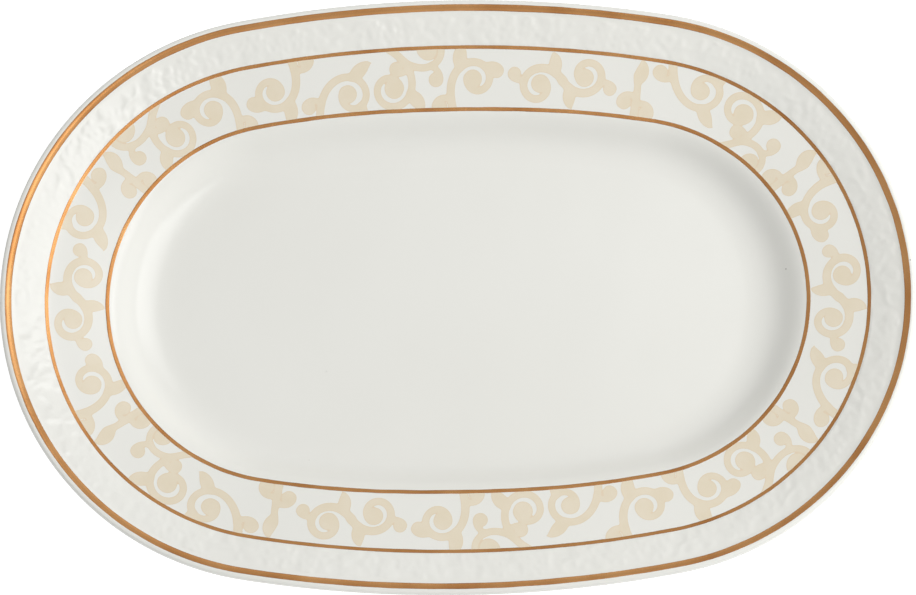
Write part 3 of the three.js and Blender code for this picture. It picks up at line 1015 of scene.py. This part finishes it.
# The radius is in metres.
TABLE_RADIUS = 4
TABLE_SIDES = 96
TABLE_WHITE = (0.95, 0.95, 0.95)
TABLE_SHADE = (0.93, 0.93, 0.93)


def stage_floor():
    """A round white table that glows faintly, and throws no light up at the underside."""
    mesh = bpy.data.meshes.new("floor")
    angles = np.arange(TABLE_SIDES) * 2 * math.pi / TABLE_SIDES
    ring = np.stack([np.cos(angles), np.sin(angles), np.zeros(TABLE_SIDES)], axis=1)
    mesh.from_pydata((TABLE_RADIUS * ring).tolist(), [], [list(range(TABLE_SIDES))])
    floor = bpy.data.objects.new("floor", mesh)
    bpy.context.scene.collection.objects.link(floor)
    nodes = Nodes("white_table")
    colour = nodes.mix(nodes.noise(3, 2), TABLE_SHADE, TABLE_WHITE)
    nodes.shader.inputs["Roughness"].default_value = 0.9
    nodes.shader.inputs["Emission Color"].default_value = (1, 1, 1, 1)
    nodes.shader.inputs["Emission Strength"].default_value = 0.6
    floor.data.materials.append(nodes.finish(colour))
    floor.visible_diffuse = False


# Name, place, width and height, power, how far from its middle the face stays fully bright as a
# share of its width, and whether it lights gloss. In metres and watts.
SOFT_BOXES = [
    ("soft_box_right", (0.76, 0.06, 0.95), (1.55, 1.75), 19.0, 0.28, False),
    ("soft_box_shine", (0.66, 0.07, 1.03), (1.3, 1.35), 6.2, 0.2, True),
]
SOFT_BOX_AIM = (0, 0, 0.02)
SOFT_BOX_EDGE = 0.5


def feather(tree, full):
    """Fades a light's face towards its four sides, as the cloth of a soft box does."""
    on_face = tree.nodes.new("ShaderNodeNewGeometry").outputs["Parametric"]
    sides = tree.nodes.new("ShaderNodeSeparateXYZ")
    tree.links.new(on_face, sides.inputs[0])
    fades = []
    for axis in "XY":
        offset = tree.nodes.new("ShaderNodeMath")
        offset.operation = "SUBTRACT"
        offset.inputs[1].default_value = SOFT_BOX_EDGE
        size = tree.nodes.new("ShaderNodeMath")
        size.operation = "ABSOLUTE"
        fade = tree.nodes.new("ShaderNodeMapRange")
        fade.interpolation_type = "SMOOTHSTEP"
        for index, number in enumerate((full, SOFT_BOX_EDGE, 1.0, 0.0)):
            fade.inputs[index + 1].default_value = number
        tree.links.new(sides.outputs[axis], offset.inputs[0])
        tree.links.new(offset.outputs[0], size.inputs[0])
        tree.links.new(size.outputs[0], fade.inputs[0])
        fades.append(fade.outputs[0])
    both = tree.nodes.new("ShaderNodeMath")
    both.operation = "MULTIPLY"
    tree.links.new(fades[0], both.inputs[0])
    tree.links.new(fades[1], both.inputs[1])
    tree.links.new(both.outputs[0], tree.nodes["Emission"].inputs["Strength"])


def soft_box(name, place, size, power, full, lights_gloss):
    """A soft box. It lights either gloss or all else, so that each has its own brightness."""
    light = bpy.data.lights.new(name, "AREA")
    light.shape = "RECTANGLE"
    light.size, light.size_y = size
    light.energy = power
    light.use_nodes = True
    feather(light.node_tree, full)
    obj = bpy.data.objects.new(name, light)
    bpy.context.scene.collection.objects.link(obj)
    obj.visible_glossy = lights_gloss
    obj.visible_diffuse = not lights_gloss
    towards = Vector(SOFT_BOX_AIM) - Vector(place)
    turn = towards.to_track_quat("-Z", "Y").to_matrix().to_4x4()
    obj.matrix_world = Matrix.Translation(place) @ turn


ROOM_OVERHEAD = 0.43
ROOM_WALLS = 0.27
ROOM_LEAN = (0.8, -0.35, 0.0)


def room_light(tree):
    """The room's light: even overhead, brighter low down, most of all on the right and in front."""
    towards = tree.nodes.new("ShaderNodeTexCoord").outputs["Generated"]
    lean = tree.nodes.new("ShaderNodeVectorMath")
    lean.operation = "DOT_PRODUCT"
    lean.inputs[1].default_value = ROOM_LEAN
    tree.links.new(towards, lean.inputs[0])
    height = tree.nodes.new("ShaderNodeSeparateXYZ")
    tree.links.new(towards, height.inputs[0])
    low_down = tree.nodes.new("ShaderNodeMapRange")
    for index, number in enumerate((0.0, 1.0, ROOM_WALLS, 0.0)):
        low_down.inputs[index + 1].default_value = number
    tree.links.new(height.outputs["Z"], low_down.inputs[0])
    side = tree.nodes.new("ShaderNodeMath")
    side.operation = "MULTIPLY_ADD"
    tree.links.new(lean.outputs["Value"], side.inputs[0])
    tree.links.new(low_down.outputs[0], side.inputs[1])
    tree.links.new(low_down.outputs[0], side.inputs[2])
    total = tree.nodes.new("ShaderNodeMath")
    total.operation = "ADD"
    total.inputs[1].default_value = ROOM_OVERHEAD
    tree.links.new(side.outputs[0], total.inputs[0])
    tree.links.new(total.outputs[0], tree.nodes["Background"].inputs["Strength"])


def studio():
    """The room's light and two soft boxes, above and to the right."""
    world = bpy.data.worlds.new("studio")
    world.use_nodes = True
    world.node_tree.nodes["Background"].inputs["Color"].default_value = (1.0, 1.0, 1.0, 1.0)
    room_light(world.node_tree)
    bpy.context.scene.world = world
    for box in SOFT_BOXES:
        soft_box(*box)


CAMERA_ELEVATION = 77
CAMERA_DISTANCE = 1.8
CAMERA_TARGET = (0.00003, 0.00028, 0.020)
CAMERA_ROLL = -0.01657
CAMERA_LENS = 184.4


def camera():
    """Nearly overhead, from a little in front of the platter's lower edge."""
    up_angle = math.radians(CAMERA_ELEVATION)
    right = Vector((1, 0, 0))
    up = Vector((0, math.sin(up_angle), math.cos(up_angle)))
    back = right.cross(up)
    x_axis = math.cos(CAMERA_ROLL) * right + math.sin(CAMERA_ROLL) * up
    y_axis = math.cos(CAMERA_ROLL) * up - math.sin(CAMERA_ROLL) * right
    data = bpy.data.cameras.new("camera")
    data.lens = CAMERA_LENS
    data.sensor_width = 36
    obj = bpy.data.objects.new("camera", data)
    bpy.context.scene.collection.objects.link(obj)
    turn = Matrix((x_axis, y_axis, back)).transposed().to_4x4()
    place = Vector(CAMERA_TARGET) + CAMERA_DISTANCE * back
    obj.matrix_world = Matrix.Translation(place) @ turn
    bpy.context.scene.camera = obj


# ---- the platter ----


def dress(obj, material):
    """Gives an object its only material."""
    obj.data.materials.append(material)


camera()
studio()
stage_floor()
bpy.context.scene.view_settings.view_transform = "Standard"

dress(piece(china_body(), "china", "china_body"), china_material())
dress(piece(foot_ring(), "biscuit", "foot_ring"), foot_material())
gilt = gilt_material()
# Name, the distances inwards to its two sides, the seed of its waver and how far it wanders
GILT_LINES = [
    ("outer", OUTER_GILT, 21, 0.07),
    ("middle", MIDDLE_GILT, 31, 0.06),
    ("inner", INNER_GILT, 41, 0.06),
]
for line, (start, end), seed, hand in GILT_LINES:
    node = f"gilt_line_{line}"
    dress(piece(gilt_line(f"{node}_fine", start, end, seed, hand), "gilt", node), gilt)
cream = print_material()
for scroll in scroll_prints():
    dress(scroll, cream)
